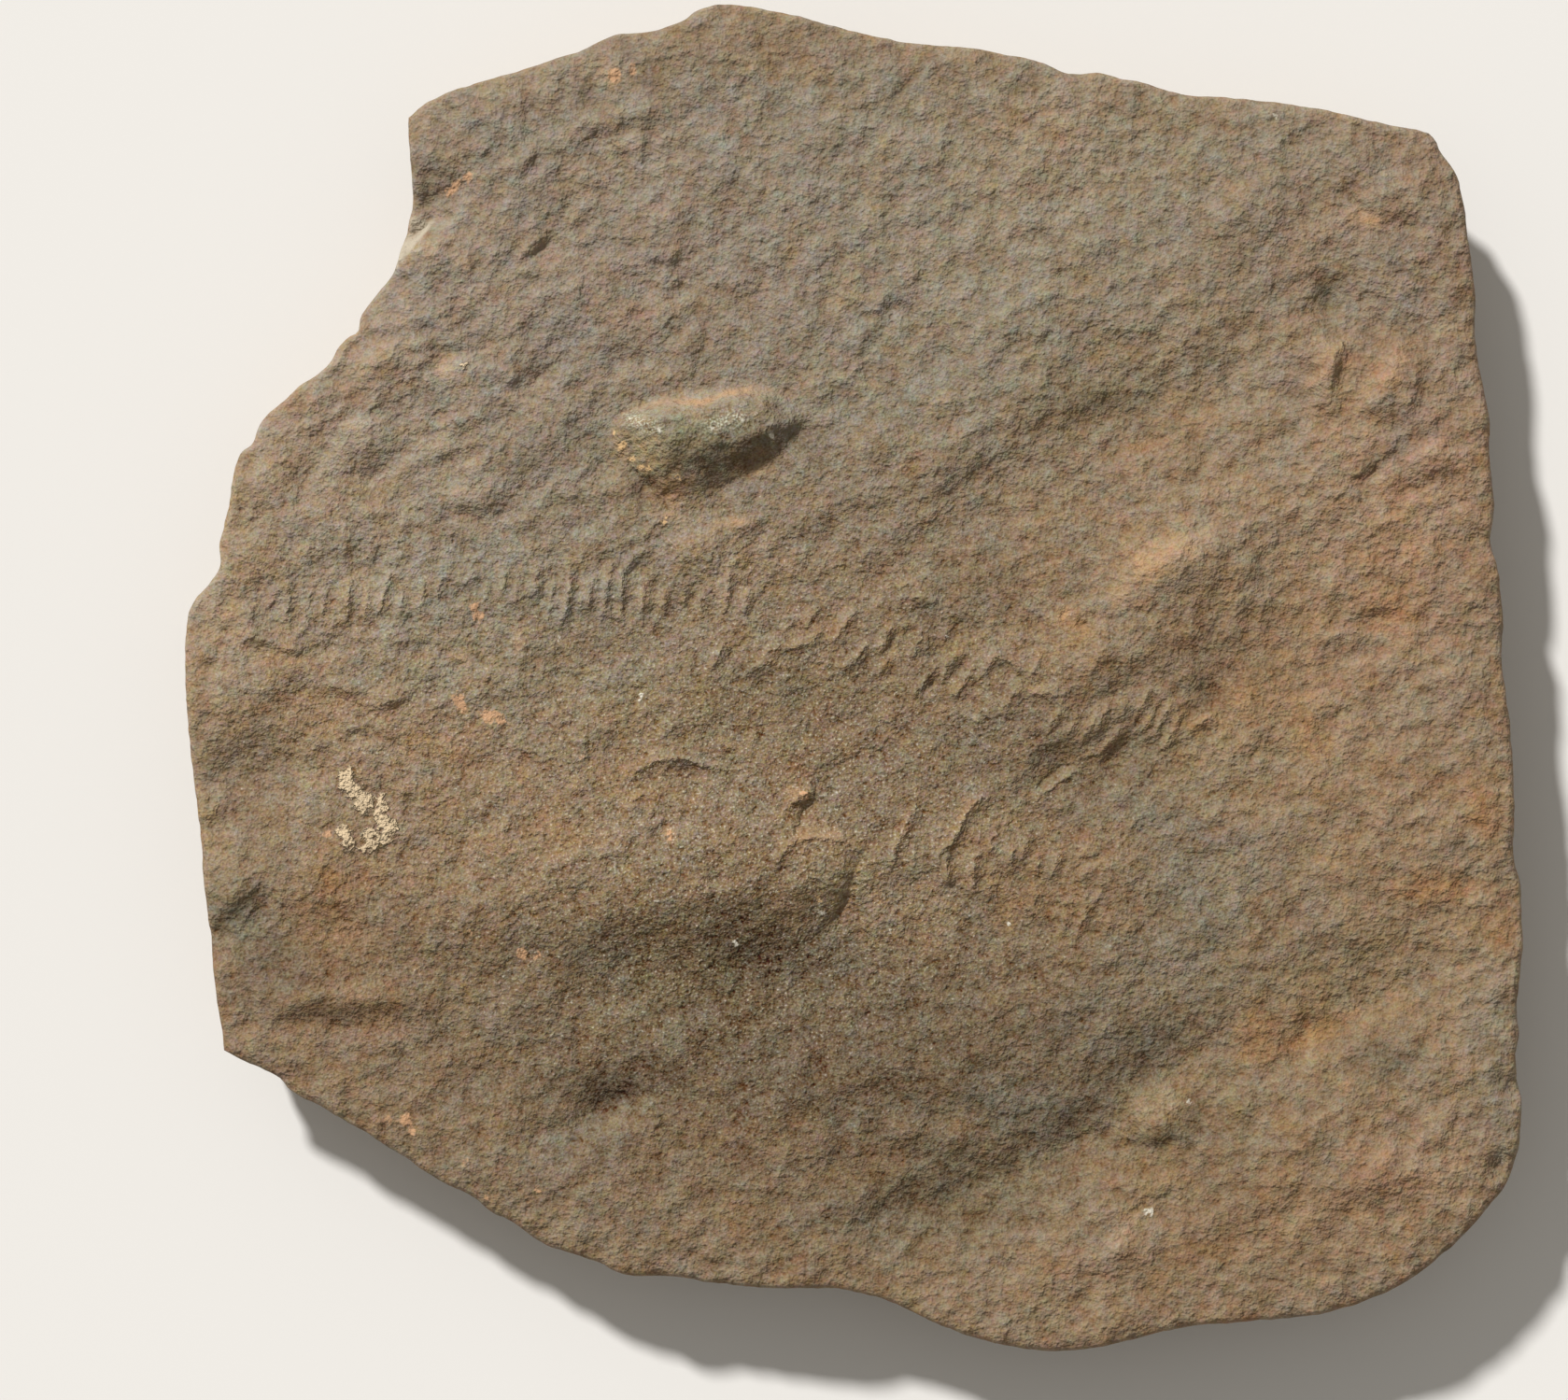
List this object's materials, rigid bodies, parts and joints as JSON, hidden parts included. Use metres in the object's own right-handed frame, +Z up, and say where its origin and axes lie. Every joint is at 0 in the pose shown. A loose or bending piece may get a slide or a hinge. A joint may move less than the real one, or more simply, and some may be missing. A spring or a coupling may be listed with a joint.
{
  "type": "fossil trilobite trackway",
  "caption": "Flat slab of brown sandstone, broken on its edges, whose face shows rows of small curved trilobite track ridges and a raised oval nodule; a specimen to study or display.",
  "frame": {"origin": "on the rest plane, under the middle of the slab's box, with the slab lying face up", "axes": "+Z up out of the trackway face; +X to the right and +Y to the head of the slab, as the face is read"},
  "size_m": [0.1801, 0.1815, 0.0195],
  "materials": {
    "sandstone": "matt, fine-grained weathered sandstone, grey-brown with rust-orange patches"
  },
  "bodies": {
    "root": {"trackway_slab": "sandstone"}
  },
  "joints": []
}
